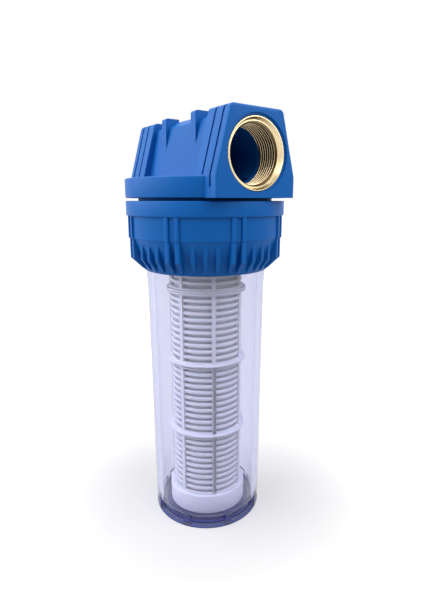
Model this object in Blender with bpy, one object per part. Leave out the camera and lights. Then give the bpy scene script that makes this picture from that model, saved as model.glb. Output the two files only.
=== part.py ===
"""Ten inch water filter housing with a washable screen cartridge.

Run with: blender --background --python part.py

The ports lie along X, Z is up, and the origin is under the bowl's centre on the floor.
"""

import math

import bmesh
import bpy
from mathutils import Matrix

MM = 0.001
CLEAR = 0.3 * MM            # gap between touching pieces
LAP = 1.0 * MM              # how far a cutter runs past what it cuts
ROUND_STEPS = 48            # facets round the large turned pieces
SMALL_STEPS = 32            # facets round the port and cartridge end pieces

# The pattern of ribs and lugs repeats eight times and is centred on this direction
PATTERN_COUNT = 8
PATTERN_ANGLE = math.radians(-34.0)

# Cartridge
CARTRIDGE_LENGTH = 250.0 * MM
CAGE_RADIUS = 29.5 * MM
CAGE_WALL = 3.0 * MM
CAGE_POSTS = 7
CAGE_POST_WIDTH = 2.8 * MM
CAGE_POST_ANGLE = math.radians(-22.6)
CAGE_WINDOW_FACETS = 2
CAGE_RING_WIDTH = 2.5 * MM      # how far the rings at the joints stand out
CAGE_RING_HEIGHT = 1.5 * MM
SECTION_SLOTS = (10, 11, 11, 11)
SECTION_END = 2.9 * MM          # solid wall between the last slot and a section's end
FIRST_END = 0.9 * MM            # the same at the foot of the lowest section
SLOT_HEIGHT = 2.4 * MM
LOWER_END_HEIGHT = 16.2 * MM
UPPER_END_HEIGHT = 5.3 * MM
END_BORE_RADIUS = 12.8 * MM
END_SOCKET_DEPTH = 6.0 * MM
GASKET_HEIGHT = 3.0 * MM
GASKET_WIDTH = 7.0 * MM
MESH_WALL = 0.8 * MM
CORE_WALL = 2.0 * MM
CORE_HOLE_WIDTH = 8.0 * MM
CORE_HOLE_ROWS = 7
CORE_HOLES_ROUND = 4

# Bowl
BOWL_FLOOR = 5.2 * MM
BOWL_WALL = 5.0 * MM
WATER_GAP = 10.1 * MM           # between the cage and the foot of the bowl's wall
BOWL_DRAFT = 1.8 * MM
BOWL_TOP_STEP = 0.6 * MM
BOWL_MID_DROP = 34.0 * MM       # from the nut's lip top down to where the wall thins
BOWL_THIN_LENGTH = 11.0 * MM
BOWL_THIN_STEP = 0.5 * MM
BOWL_CORNER_RADIUS = 5.0 * MM
FOOT_INSET = 3.6 * MM
FOOT_DRAFT = 1.0 * MM
FOOT_HEIGHT = 10.5 * MM
FOOT_STEP_HEIGHT = 1.0 * MM
FOOT_RING_WIDTH = 5.0 * MM
FOOT_RECESS = 1.8 * MM
LUG_WIDTH = 5.5 * MM
LUG_HEIGHT = 12.0 * MM
NIPPLE_HEIGHT = 8.0 * MM
COLLAR_HEIGHT = 5.0 * MM
COLLAR_WIDTH = 5.0 * MM
SEAL_THICKNESS = 4.0 * MM
SEAL_FACETS = 6
SEAL_GROOVE_DEPTH = 3.4 * MM

# Ring nut
NUT_HEIGHT = 52.0 * MM
NUT_LIP_HEIGHT = 17.0 * MM
NUT_BAND_WALL = 8.7 * MM
NUT_BAND_HEIGHT = 10.6 * MM
NUT_BAND_STEP = 2.0 * MM        # from the band in to the panels
NUT_PANEL_HEIGHT = 16.2 * MM
NUT_PANEL_STEP = 0.5 * MM       # from the panels in to the cone
NUT_LEDGE = 0.5 * MM            # height of the slanting ledge under the band and the panels
NUT_RIM_WALL = 1.1 * MM
NUT_RIM_STEP = 1.6 * MM         # from the rim out to the foot of the cone
NUT_RIM_HEIGHT = 1.8 * MM
RIB_RISE = 1.4 * MM             # how far the paired ribs stand out from the panels
RIB_STEP = 0.9 * MM             # how far they step back below the panels
RIB_WIDTH = 3.2 * MM
RIB_HALF_ANGLE = math.radians(3.7)
FIN_DROP = 1.7 * MM             # how far the fins lie behind the panels
FIN_WIDTH = 3.0 * MM
FIN_ANGLE = math.radians(8.7)
RIB_STRAIGHT_HEIGHT = 10.4 * MM # from the nut's foot up to where the ribs turn upright
RIB_FOOT_RISE = 0.6 * MM

# Head
SPIGOT_NUT_CLEARANCE = 0.8 * MM
SPIGOT_WALL = 7.5 * MM
CHAMBER_RISE = 1.0 * MM         # how far the chamber's roof lies above the flange's underside
SEAT_RING_HEIGHT = 5.6 * MM
SEAT_RING_WALL = 5.0 * MM
NUT_HEAD_GAP = 2.0 * MM
FLANGE_HEIGHT = 14.0 * MM
FLANGE_CHAMFER = 0.8 * MM
BLOCK_OVERHANG = 2.0 * MM       # how far the port faces stand out from the flange
BLOCK_HALF_WIDTH = 34.0 * MM
BLOCK_TOP_HALF_WIDTH = 22.0 * MM
BLOCK_HEIGHT = 44.0 * MM        # above the flange
BLOCK_CORNER = 2.6 * MM
BLOCK_FACE_BEVEL = 2.0 * MM
PORT_BLOCK_LENGTH = 24.0 * MM
PANEL_LOW_HALF_WIDTH = 28.5 * MM
PANEL_TOP_HALF_WIDTH = 20.2 * MM
VAULT_WALL = 12.5 * MM
VAULT_FACETS = 8
PORT_RISE = 14.3 * MM           # port axis above the flange's top
GROOVE_WIDTH = 1.2 * MM
GROOVE_DEPTH = 2.0 * MM
OUTER_GROOVE_INSET = 7.0 * MM
INNER_GROOVE_INSET = 16.0 * MM
OUTER_GROOVE_DROP = 8.0 * MM    # how far the outer groove runs below the flange's top
BOSS_OFFSET = 20.7 * MM
BOSS_THICKNESS = 6.0 * MM
BOSS_HALF_WIDTH = 23.5 * MM
BOSS_HEIGHT = 45.0 * MM         # above the flange
BOSS_FOOT_HEIGHT = 15.0 * MM
BOSS_CORNER = 2.0 * MM

# Ports
INSERT_BORE_RADIUS = 19.5 * MM
INSERT_WALL = 4.5 * MM
INSERT_LENGTH = 21.0 * MM
INSERT_INSET = 1.0 * MM         # how far the brass lies behind the port face
INSERT_MOUTH_STEP = 1.7 * MM
INSERT_MOUTH_DEPTH = 3.5 * MM
INSERT_CHAMFER = 1.0 * MM
INSERT_LAND = 1.8 * MM
PORT_RECESS_WIDTH = 1.6 * MM    # width of the sunk ring round the brass
PASSAGE_STEP = 1.0 * MM         # how much narrower the passage is than the brass bore
WELL_STEP = 0.8 * MM            # how much narrower the well is than the cartridge bore
WELL_WALL = 4.0 * MM
SLOT_HALF_WIDTH = 12.0 * MM
SLOT_INSET = 6.0 * MM           # from the chamber's wall in to the inlet slot's end

# Heights above the floor, worked out from the sizes above
CARTRIDGE_BOTTOM = BOWL_FLOOR + CLEAR
CARTRIDGE_TOP = CARTRIDGE_BOTTOM + CARTRIDGE_LENGTH
SEAT_HEIGHT = CARTRIDGE_TOP + CLEAR
CHAMBER_ROOF = SEAT_HEIGHT + SEAT_RING_HEIGHT
FLANGE_BOTTOM = CHAMBER_ROOF - CHAMBER_RISE
FLANGE_TOP = FLANGE_BOTTOM + FLANGE_HEIGHT
BLOCK_TOP = FLANGE_TOP + BLOCK_HEIGHT
PORT_AXIS = FLANGE_TOP + PORT_RISE
NUT_TOP = FLANGE_BOTTOM - NUT_HEAD_GAP
NUT_BOTTOM = NUT_TOP - NUT_HEIGHT
NUT_LIP_TOP = NUT_BOTTOM + NUT_LIP_HEIGHT
NUT_BAND_BOTTOM = NUT_TOP - NUT_BAND_HEIGHT
NUT_STEP = NUT_BAND_BOTTOM - NUT_PANEL_HEIGHT
COLLAR_BOTTOM = NUT_LIP_TOP + CLEAR
COLLAR_TOP = COLLAR_BOTTOM + COLLAR_HEIGHT
SEAL_BOTTOM = COLLAR_TOP - SEAL_GROOVE_DEPTH + CLEAR
SPIGOT_BOTTOM = SEAL_BOTTOM + SEAL_THICKNESS + CLEAR
THIN_TOP = NUT_LIP_TOP - BOWL_MID_DROP

# The slots share what height the cage's ends, joints and solid walls leave
CAGE_BOTTOM = CARTRIDGE_BOTTOM + LOWER_END_HEIGHT + CLEAR
CAGE_TOP = CARTRIDGE_TOP - UPPER_END_HEIGHT - CLEAR
CAGE_SECTIONS = len(SECTION_SLOTS)
CAGE_SOLID = FIRST_END + (2 * CAGE_SECTIONS - 1) * SECTION_END + (CAGE_SECTIONS - 1) * CLEAR
SLOTTED_HEIGHT = CAGE_TOP - CAGE_BOTTOM - CAGE_SOLID
SLOT_PITCH = ((SLOTTED_HEIGHT - CAGE_SECTIONS * SLOT_HEIGHT)
              / (sum(SECTION_SLOTS) - CAGE_SECTIONS))

# Cartridge radii, from the cage inwards
CAGE_RING_RADIUS = CAGE_RADIUS + CAGE_RING_WIDTH
CAGE_POST_HALF = math.asin(CAGE_POST_WIDTH / 2 / CAGE_RADIUS)
CAGE_FACET = (2 * math.pi / CAGE_POSTS - 2 * CAGE_POST_HALF) / CAGE_WINDOW_FACETS
MESH_RADIUS = (CAGE_RADIUS - CAGE_WALL) * math.cos(CAGE_FACET / 2) - CLEAR
CORE_RADIUS = MESH_RADIUS - MESH_WALL - CLEAR
GASKET_BORE = END_BORE_RADIUS
NIPPLE_RADIUS = END_BORE_RADIUS - CLEAR

# Bowl, nut and head radii, from the cage outwards
BOWL_LOW_RADIUS = CAGE_RADIUS + WATER_GAP + BOWL_WALL
BOWL_MID_RADIUS = BOWL_LOW_RADIUS + BOWL_DRAFT
BOWL_TOP_RADIUS = BOWL_MID_RADIUS + BOWL_TOP_STEP
BOWL_TOP_BORE = BOWL_TOP_RADIUS - BOWL_WALL
FOOT_RADIUS = BOWL_LOW_RADIUS - FOOT_INSET
FOOT_TOP_RADIUS = FOOT_RADIUS + FOOT_DRAFT
COLLAR_RADIUS = BOWL_TOP_RADIUS + COLLAR_WIDTH
SEAL_RADIUS = (BOWL_TOP_BORE + COLLAR_RADIUS) / 2
NUT_BORE_RADIUS = COLLAR_RADIUS + CLEAR
NUT_LIP_RADIUS = BOWL_TOP_RADIUS + CLEAR
NUT_RIM_RADIUS = NUT_LIP_RADIUS + NUT_RIM_WALL
NUT_CONE_LOW_RADIUS = NUT_RIM_RADIUS + NUT_RIM_STEP
NUT_BAND_RADIUS = NUT_BORE_RADIUS + NUT_BAND_WALL
NUT_PANEL_RADIUS = NUT_BAND_RADIUS - NUT_BAND_STEP
NUT_CONE_TOP_RADIUS = NUT_PANEL_RADIUS - NUT_PANEL_STEP
RIB_RADIUS = NUT_PANEL_RADIUS + RIB_RISE
RIB_LOW_RADIUS = RIB_RADIUS - RIB_STEP
RIB_FOOT_RADIUS = NUT_CONE_LOW_RADIUS + RIB_FOOT_RISE
FIN_RADIUS = NUT_PANEL_RADIUS - FIN_DROP
SPIGOT_RADIUS = NUT_BORE_RADIUS - SPIGOT_NUT_CLEARANCE
CHAMBER_RADIUS = SPIGOT_RADIUS - SPIGOT_WALL
FLANGE_RADIUS = NUT_BAND_RADIUS

# Ports
PORT_FACE = FLANGE_RADIUS + BLOCK_OVERHANG
PORT_BLOCK_START = PORT_FACE - PORT_BLOCK_LENGTH
INSERT_FACE = PORT_FACE - INSERT_INSET
INSERT_BACK = INSERT_FACE - INSERT_LENGTH
INSERT_RADIUS = INSERT_BORE_RADIUS + INSERT_WALL
INSERT_MOUTH_RADIUS = INSERT_BORE_RADIUS + INSERT_MOUTH_STEP
PORT_RECESS_RADIUS = INSERT_RADIUS + PORT_RECESS_WIDTH
PASSAGE_RADIUS = INSERT_BORE_RADIUS - PASSAGE_STEP
VAULT_RADIUS = PASSAGE_RADIUS + VAULT_WALL
WELL_RADIUS = END_BORE_RADIUS - WELL_STEP
SEAT_RING_RADIUS = WELL_RADIUS + SEAT_RING_WALL
SLOT_END = CHAMBER_RADIUS - SLOT_INSET


def clear_scene():
    for item in list(bpy.data.objects):
        bpy.data.objects.remove(item, do_unlink=True)


def material(name, colour, roughness, metallic=0.0, alpha=1.0):
    finish = bpy.data.materials.new(name)
    finish.use_nodes = True
    shader = finish.node_tree.nodes["Principled BSDF"]
    shader.inputs["Base Color"].default_value = (*colour, 1.0)
    shader.inputs["Roughness"].default_value = roughness
    shader.inputs["Metallic"].default_value = metallic
    shader.inputs["Alpha"].default_value = alpha
    return finish


def close_up(shape):
    """Merge what meets and turn every face outwards."""
    bmesh.ops.remove_doubles(shape, verts=shape.verts, dist=1e-7)
    bmesh.ops.dissolve_degenerate(shape, edges=shape.edges, dist=1e-7)
    bmesh.ops.recalc_face_normals(shape, faces=shape.faces)


def add_object(name, shape, finish=None):
    """Make an object of a bmesh, shaded smooth up to its sharp edges."""
    mesh = bpy.data.meshes.new(name)
    shape.to_mesh(mesh)
    shape.free()
    mesh.shade_smooth()
    mesh.set_sharp_from_angle(angle=math.radians(30.0))
    item = bpy.data.objects.new(name, mesh)
    bpy.context.scene.collection.objects.link(item)
    if finish:
        mesh.materials.append(finish)
    return item


def turned_shape(outline, steps=ROUND_STEPS):
    """Spin a closed outline of (radius, height) points about the Z axis."""
    shape = bmesh.new()
    points = [shape.verts.new((radius, 0.0, height)) for radius, height in outline]
    sides = []
    for index, point in enumerate(points):
        previous = points[index - 1]
        if previous.co.x > 0.0 or point.co.x > 0.0:
            sides.append(shape.edges.new((previous, point)))
    bmesh.ops.spin(shape, geom=points + sides, cent=(0, 0, 0), axis=(0, 0, 1),
                   angle=2 * math.pi, steps=steps, use_merge=True)
    close_up(shape)
    return shape


def prism_shape(outline, start, end):
    """Extrude a closed outline of (y, z) points along X, from start to end."""
    shape = bmesh.new()
    points = [shape.verts.new((start, across, height)) for across, height in outline]
    face = shape.faces.new(points)
    grown = bmesh.ops.extrude_face_region(shape, geom=[face])
    moved = [part for part in grown["geom"] if isinstance(part, bmesh.types.BMVert)]
    bmesh.ops.translate(shape, verts=moved, vec=(end - start, 0.0, 0.0))
    close_up(shape)
    return shape


def cylinder_shape(radius, bottom, top, steps=SMALL_STEPS):
    shape = bmesh.new()
    bmesh.ops.create_cone(shape, cap_ends=True, cap_tris=False, segments=steps,
                          radius1=radius, radius2=radius, depth=abs(top - bottom))
    bmesh.ops.translate(shape, verts=shape.verts, vec=(0.0, 0.0, (top + bottom) / 2))
    return shape


def lay_along_x(shape, height):
    """Turn a shape made about Z so that its axis lies along X at a height."""
    turn = Matrix.Translation((0.0, 0.0, height)) @ Matrix.Rotation(math.pi / 2, 4, "Y")
    bmesh.ops.transform(shape, matrix=turn, verts=shape.verts)
    return shape


def join_flat_faces(mesh):
    """Merge neighbouring faces that lie in one plane, and points that meet."""
    shape = bmesh.new()
    shape.from_mesh(mesh)
    bmesh.ops.remove_doubles(shape, verts=shape.verts, dist=1e-7)
    bmesh.ops.dissolve_limit(shape, angle_limit=math.radians(0.02), verts=shape.verts,
                             edges=shape.edges, use_dissolve_boundaries=False)
    shape.to_mesh(mesh)
    shape.free()


def combine(item, other, operation):
    """Apply a Boolean to item with other, then remove other."""
    modifier = item.modifiers.new("combine", "BOOLEAN")
    modifier.object = other
    modifier.operation = operation
    modifier.solver = "EXACT"
    view = bpy.context.evaluated_depsgraph_get()
    result = bpy.data.meshes.new_from_object(item.evaluated_get(view))
    old = item.data
    item.modifiers.clear()
    item.data = result
    result.name = item.name
    bpy.data.meshes.remove(old)
    bpy.data.objects.remove(other, do_unlink=True)
    join_flat_faces(result)


def add_to(item, shape):
    combine(item, add_object("addition", shape), "UNION")


def cut_from(item, shape):
    combine(item, add_object("cutter", shape), "DIFFERENCE")


def merged(shapes):
    """Gather separate shapes into one bmesh."""
    whole = bmesh.new()
    for shape in shapes:
        mesh = bpy.data.meshes.new("piece")
        shape.to_mesh(mesh)
        shape.free()
        whole.from_mesh(mesh)
        bpy.data.meshes.remove(mesh)
    return whole


def turn_about_z(shape, angle):
    bmesh.ops.rotate(shape, verts=shape.verts, cent=(0, 0, 0),
                     matrix=Matrix.Rotation(angle, 3, "Z"))
    return shape


def radial_rib(outline, width, angle):
    """A flat rib of (radius, height) points, standing out at an angle."""
    shape = prism_shape(outline, -width / 2, width / 2)
    return turn_about_z(shape, angle - math.pi / 2)


def pattern_angles():
    step = 2 * math.pi / PATTERN_COUNT
    return [PATTERN_ANGLE + index * step for index in range(PATTERN_COUNT)]


def arc(centre_across, centre_height, radius, first, last, steps):
    """Points along an arc, both ends included, with angles from the level."""
    points = []
    for index in range(steps + 1):
        angle = first + (last - first) * index / steps
        points.append((centre_across + radius * math.cos(angle),
                       centre_height + radius * math.sin(angle)))
    return points


def block_outline():
    """Cross-section of a port block: upright low down, then leaning in to a rounded top."""
    lean = math.atan2(BLOCK_HALF_WIDTH - BLOCK_TOP_HALF_WIDTH, BLOCK_HEIGHT)
    inset = BLOCK_CORNER * math.tan(math.pi / 4 - lean / 2)
    right = [(BLOCK_HALF_WIDTH, FLANGE_BOTTOM), (BLOCK_HALF_WIDTH, FLANGE_TOP)]
    corner = arc(BLOCK_TOP_HALF_WIDTH - inset, BLOCK_TOP - BLOCK_CORNER, BLOCK_CORNER,
                 lean, math.pi / 2, 3)
    right.extend(corner)
    left = [(-across, height) for across, height in reversed(right)]
    return right + left


def middle_outline():
    """Cross-section between the port blocks: sunk side panels under a round vault."""
    edge = math.acos(PANEL_TOP_HALF_WIDTH / VAULT_RADIUS)
    vault = arc(0.0, PORT_AXIS, VAULT_RADIUS, edge, math.pi - edge, VAULT_FACETS)
    low = FLANGE_TOP - LAP
    return [(PANEL_LOW_HALF_WIDTH, low)] + vault + [(-PANEL_LOW_HALF_WIDTH, low)]


def port_block(side):
    near = side * (PORT_BLOCK_START - LAP)
    shape = prism_shape(block_outline(), near, side * PORT_FACE)
    rim = [edge for edge in shape.edges
           if all(abs(abs(end.co.x) - PORT_FACE) < 1e-6 for end in edge.verts)
           and any(end.co.z > FLANGE_BOTTOM + LAP for end in edge.verts)]
    bmesh.ops.bevel(shape, geom=rim, offset=BLOCK_FACE_BEVEL, affect="EDGES",
                    segments=2, profile=0.5, material=-1)
    close_up(shape)
    return shape


def groove(side, face, inset, foot):
    """A thin cutter that follows the block's side from its top down to a foot height."""
    run = (BLOCK_HALF_WIDTH - BLOCK_TOP_HALF_WIDTH) / BLOCK_HEIGHT
    over = BLOCK_TOP + LAP

    def side_at(height):
        return BLOCK_HALF_WIDTH - run * max(0.0, height - FLANGE_TOP)

    inner = [(side_at(foot + GROOVE_DEPTH) - GROOVE_DEPTH, foot + GROOVE_DEPTH),
             (side_at(over) - GROOVE_DEPTH, over)]
    outer = [(side_at(over) + LAP, over), (side_at(foot) + LAP, foot)]
    if foot < FLANGE_TOP:
        inner.insert(1, (side_at(FLANGE_TOP) - GROOVE_DEPTH, FLANGE_TOP))
        outer.insert(1, (side_at(FLANGE_TOP) + LAP, FLANGE_TOP))
    outline = [(face * across, height) for across, height in inner + outer]
    middle = side * (PORT_FACE - inset)
    return prism_shape(outline, middle - GROOVE_WIDTH / 2, middle + GROOVE_WIDTH / 2)


def boss(side, face):
    """An upright plate beside the vault that takes a bracket screw."""
    foot = FLANGE_TOP + BOSS_FOOT_HEIGHT
    top = FLANGE_TOP + BOSS_HEIGHT
    root = BOSS_HALF_WIDTH / 2
    corner = arc(BOSS_HALF_WIDTH - BOSS_CORNER, top - BOSS_CORNER, BOSS_CORNER,
                 0.0, math.pi / 2, 2)
    outline = [(root, foot), (BOSS_HALF_WIDTH, foot)] + corner + [(root, top)]
    outline = [(face * across, height) for across, height in outline]
    middle = side * BOSS_OFFSET
    return prism_shape(outline, middle - BOSS_THICKNESS / 2, middle + BOSS_THICKNESS / 2)


def port_cutter(side, radius, start, end):
    shape = cylinder_shape(radius, side * start, side * end)
    return lay_along_x(shape, PORT_AXIS)


def inlet_way():
    """The inlet passage and its way down to the chamber, stopped by the well's wall."""
    way = add_object("inlet_way", port_cutter(1, PASSAGE_RADIUS, WELL_RADIUS / 4, INSERT_BACK + LAP))
    slot = [(-SLOT_HALF_WIDTH, CHAMBER_ROOF - LAP), (SLOT_HALF_WIDTH, CHAMBER_ROOF - LAP),
            (SLOT_HALF_WIDTH, PORT_AXIS - LAP), (-SLOT_HALF_WIDTH, PORT_AXIS - LAP)]
    add_to(way, prism_shape(slot, WELL_RADIUS / 2, SLOT_END))
    post = WELL_RADIUS + WELL_WALL
    cut_from(way, cylinder_shape(post, CHAMBER_ROOF - 2 * LAP, BLOCK_TOP))
    return way


def make_head(finish):
    turned = [(0.0, SEAT_HEIGHT), (SEAT_RING_RADIUS, SEAT_HEIGHT),
              (SEAT_RING_RADIUS, CHAMBER_ROOF), (CHAMBER_RADIUS, CHAMBER_ROOF),
              (CHAMBER_RADIUS, SPIGOT_BOTTOM), (SPIGOT_RADIUS, SPIGOT_BOTTOM),
              (SPIGOT_RADIUS, FLANGE_BOTTOM), (FLANGE_RADIUS - FLANGE_CHAMFER, FLANGE_BOTTOM),
              (FLANGE_RADIUS, FLANGE_BOTTOM + FLANGE_CHAMFER),
              (FLANGE_RADIUS, FLANGE_TOP - FLANGE_CHAMFER),
              (FLANGE_RADIUS - FLANGE_CHAMFER, FLANGE_TOP), (0.0, FLANGE_TOP)]
    head = add_object("head", turned_shape(turned), finish)
    add_to(head, prism_shape(middle_outline(), -PORT_BLOCK_START, PORT_BLOCK_START))
    for side in (-1, 1):
        add_to(head, port_block(side))
        for face in (-1, 1):
            add_to(head, boss(side, face))
    cutters = []
    for side in (-1, 1):
        for face in (-1, 1):
            cutters.append(groove(side, face, OUTER_GROOVE_INSET, FLANGE_TOP - OUTER_GROOVE_DROP))
            cutters.append(groove(side, face, INNER_GROOVE_INSET, FLANGE_TOP))
    cut_from(head, merged(cutters))
    for side in (-1, 1):
        cut_from(head, port_cutter(side, PORT_RECESS_RADIUS, INSERT_FACE, PORT_FACE + LAP))
        pocket = INSERT_RADIUS + CLEAR
        cut_from(head, port_cutter(side, pocket, INSERT_BACK - CLEAR, PORT_FACE + LAP))
    combine(head, inlet_way(), "DIFFERENCE")
    cut_from(head, port_cutter(-1, PASSAGE_RADIUS, -WELL_RADIUS / 2, INSERT_BACK + LAP))
    cut_from(head, cylinder_shape(WELL_RADIUS, SEAT_HEIGHT - LAP, PORT_AXIS))
    return head


def make_insert(name, side, finish):
    """A brass ring with its thread core bore, mouth and chamfer, facing out of a port."""
    face = INSERT_FACE
    mouth_end = face - INSERT_MOUTH_DEPTH
    lip = INSERT_RADIUS - INSERT_LAND
    step = INSERT_MOUTH_RADIUS - INSERT_BORE_RADIUS
    outline = [(INSERT_BORE_RADIUS, INSERT_BACK), (INSERT_RADIUS, INSERT_BACK),
               (INSERT_RADIUS, face), (lip, face),
               (INSERT_MOUTH_RADIUS, face - INSERT_CHAMFER),
               (INSERT_MOUTH_RADIUS, mouth_end), (INSERT_BORE_RADIUS, mouth_end - step)]
    shape = lay_along_x(turned_shape(outline, SMALL_STEPS), PORT_AXIS)
    if side < 0:
        turn_about_z(shape, math.pi)
    return add_object(name, shape, finish)


def make_ring_nut(finish):
    bore = NUT_BORE_RADIUS
    rim_top = NUT_BOTTOM + NUT_RIM_HEIGHT
    turned = [(NUT_LIP_RADIUS, NUT_BOTTOM), (NUT_RIM_RADIUS, NUT_BOTTOM),
              (NUT_CONE_LOW_RADIUS, rim_top), (NUT_CONE_TOP_RADIUS, NUT_STEP - NUT_LEDGE),
              (NUT_PANEL_RADIUS, NUT_STEP), (NUT_PANEL_RADIUS, NUT_BAND_BOTTOM - NUT_LEDGE),
              (NUT_BAND_RADIUS, NUT_BAND_BOTTOM),
              (NUT_BAND_RADIUS, NUT_TOP), (bore, NUT_TOP),
              (bore, NUT_LIP_TOP), (NUT_LIP_RADIUS, NUT_LIP_TOP)]
    nut = add_object("ring_nut", turned_shape(turned), finish)

    elbow = NUT_BOTTOM + RIB_STRAIGHT_HEIGHT
    band = NUT_BAND_BOTTOM + LAP
    root = NUT_BORE_RADIUS + LAP
    low_root = NUT_RIM_RADIUS
    rib = [(low_root, rim_top), (RIB_FOOT_RADIUS, rim_top), (RIB_LOW_RADIUS, elbow),
           (RIB_LOW_RADIUS, NUT_STEP - NUT_LEDGE), (RIB_RADIUS, NUT_STEP), (RIB_RADIUS, band),
           (root, band), (root, NUT_LIP_TOP)]
    fin = [(low_root, rim_top), (RIB_FOOT_RADIUS, rim_top), (FIN_RADIUS, elbow),
           (FIN_RADIUS, NUT_STEP - LAP), (root, NUT_STEP - LAP), (root, NUT_LIP_TOP)]
    half_step = math.pi / PATTERN_COUNT
    shapes = []
    for angle in pattern_angles():
        for offset in (-RIB_HALF_ANGLE, RIB_HALF_ANGLE):
            shapes.append(radial_rib(rib, RIB_WIDTH, angle + half_step + offset))
        for offset in (-FIN_ANGLE, 0.0, FIN_ANGLE):
            shapes.append(radial_rib(fin, FIN_WIDTH, angle + offset))
    add_to(nut, merged(shapes))
    return nut


def make_bowl(finish):
    thin_bottom = THIN_TOP - BOWL_THIN_LENGTH
    mid_bore = BOWL_MID_RADIUS - BOWL_WALL
    low_bore = BOWL_LOW_RADIUS - BOWL_WALL
    foot_bore = FOOT_RADIUS - FOOT_RING_WIDTH
    groove_floor = COLLAR_TOP - SEAL_GROOVE_DEPTH
    groove_half = SEAL_THICKNESS / 2 + CLEAR
    wall_foot = FOOT_HEIGHT + FOOT_STEP_HEIGHT
    corner = arc(low_bore - BOWL_CORNER_RADIUS, BOWL_FLOOR + BOWL_CORNER_RADIUS,
                 BOWL_CORNER_RADIUS, 0.0, -math.pi / 2, 3)
    outline = [(0.0, FOOT_RECESS), (foot_bore, FOOT_RECESS), (foot_bore, 0.0),
               (FOOT_RADIUS, 0.0), (FOOT_TOP_RADIUS, FOOT_HEIGHT),
               (BOWL_LOW_RADIUS, wall_foot), (BOWL_MID_RADIUS, THIN_TOP),
               (BOWL_TOP_RADIUS, THIN_TOP + BOWL_THIN_LENGTH), (BOWL_TOP_RADIUS, COLLAR_BOTTOM),
               (COLLAR_RADIUS, COLLAR_BOTTOM), (COLLAR_RADIUS, COLLAR_TOP),
               (SEAL_RADIUS + groove_half, COLLAR_TOP), (SEAL_RADIUS + groove_half, groove_floor),
               (SEAL_RADIUS - groove_half, groove_floor), (SEAL_RADIUS - groove_half, COLLAR_TOP),
               (BOWL_TOP_BORE, COLLAR_TOP), (BOWL_TOP_BORE, THIN_TOP),
               (mid_bore - BOWL_THIN_STEP, thin_bottom)]
    outline.extend(corner)
    nipple_top = BOWL_FLOOR + NIPPLE_HEIGHT
    outline.extend([(NIPPLE_RADIUS, BOWL_FLOOR), (NIPPLE_RADIUS, nipple_top), (0.0, nipple_top)])
    bowl = add_object("bowl", turned_shape(outline), finish)

    half_step = math.pi / PATTERN_COUNT
    lug = [(low_bore, 0.0), (BOWL_LOW_RADIUS, 0.0), (BOWL_LOW_RADIUS, LUG_HEIGHT),
           (low_bore + LAP, LUG_HEIGHT)]
    lugs = [radial_rib(lug, LUG_WIDTH, angle + half_step) for angle in pattern_angles()]
    add_to(bowl, merged(lugs))
    return bowl


def make_bowl_seal(finish):
    middle = SEAL_BOTTOM + SEAL_THICKNESS / 2
    section = arc(SEAL_RADIUS, middle, SEAL_THICKNESS / 2, 0.0, 2 * math.pi, SEAL_FACETS)[:-1]
    return add_object("bowl_seal", turned_shape(section), finish)


def cage_angles():
    """Directions round the cage: both sides of each post and the facets between posts."""
    step = 2 * math.pi / CAGE_POSTS
    angles = []
    for post in range(CAGE_POSTS):
        middle = CAGE_POST_ANGLE + post * step
        angles.append((middle - CAGE_POST_HALF, True))
        for facet in range(CAGE_WINDOW_FACETS):
            angles.append((middle + CAGE_POST_HALF + CAGE_FACET * facet, False))
    return angles


def cage_levels(bottom, slots, low_end):
    """Heights of a section's foot, its slots and its top, each marked if a slot opens above."""
    levels = [(bottom, False)]
    for index in range(slots):
        slot_bottom = bottom + low_end + index * SLOT_PITCH
        levels.extend([(slot_bottom, True), (slot_bottom + SLOT_HEIGHT, False)])
    levels.append((levels[-1][0] + SECTION_END, False))
    return levels


def outer_levels(levels, low_ring, high_ring):
    """Rows of (radius, height, open) up the outside, stepped out at the rings."""
    rows = [(CAGE_RADIUS, height, is_open) for height, is_open in levels]
    bottom = levels[0][0]
    top = levels[-1][0]
    if low_ring:
        step = bottom + CAGE_RING_HEIGHT
        rows[0:1] = [(CAGE_RING_RADIUS, bottom, False), (CAGE_RING_RADIUS, step, False),
                     (CAGE_RADIUS, step, False)]
    if high_ring:
        step = top - CAGE_RING_HEIGHT
        rows[-1:] = [(CAGE_RADIUS, step, False), (CAGE_RING_RADIUS, step, False),
                     (CAGE_RING_RADIUS, top, False)]
    return rows


def make_cage_section(name, levels, low_ring, high_ring, finish):
    """A round wall pierced by rows of slots between upright posts."""
    angles = cage_angles()
    count = len(angles)
    shape = bmesh.new()
    inner_levels = [(CAGE_RADIUS - CAGE_WALL, height, is_open) for height, is_open in levels]
    skins = []
    for skin_levels in (outer_levels(levels, low_ring, high_ring), inner_levels):
        rows = []
        for radius, height, _ in skin_levels:
            rows.append([shape.verts.new((radius * math.cos(angle), radius * math.sin(angle), height))
                         for angle, _ in angles])
        for row in range(len(rows) - 1):
            is_open = skin_levels[row][2]
            for column in range(count):
                following = (column + 1) % count
                if angles[column][1] or not is_open:
                    shape.faces.new((rows[row][column], rows[row][following],
                                     rows[row + 1][following], rows[row + 1][column]))
        skins.append((skin_levels, rows))

    inner_rows = {level[1]: row for level, row in zip(*skins[1])}
    partner = {}
    for level, row in zip(*skins[0]):
        if level[1] in inner_rows:
            partner.update(zip(row, inner_rows[level[1]]))
    rims = [edge for edge in shape.edges if edge.is_boundary]
    for edge in rims:
        start, end = edge.verts
        if start in partner and end in partner:
            shape.faces.new((start, end, partner[end], partner[start]))
    close_up(shape)
    return add_object(name, shape, finish)


def make_cage(finish):
    bottom = CAGE_BOTTOM
    for index, slots in enumerate(SECTION_SLOTS):
        low_end = SECTION_END if index else FIRST_END
        levels = cage_levels(bottom, slots, low_end)
        is_last = index == CAGE_SECTIONS - 1
        make_cage_section(f"cage_section_{index + 1}", levels, index > 0, not is_last, finish)
        bottom = levels[-1][0] + CLEAR


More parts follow.
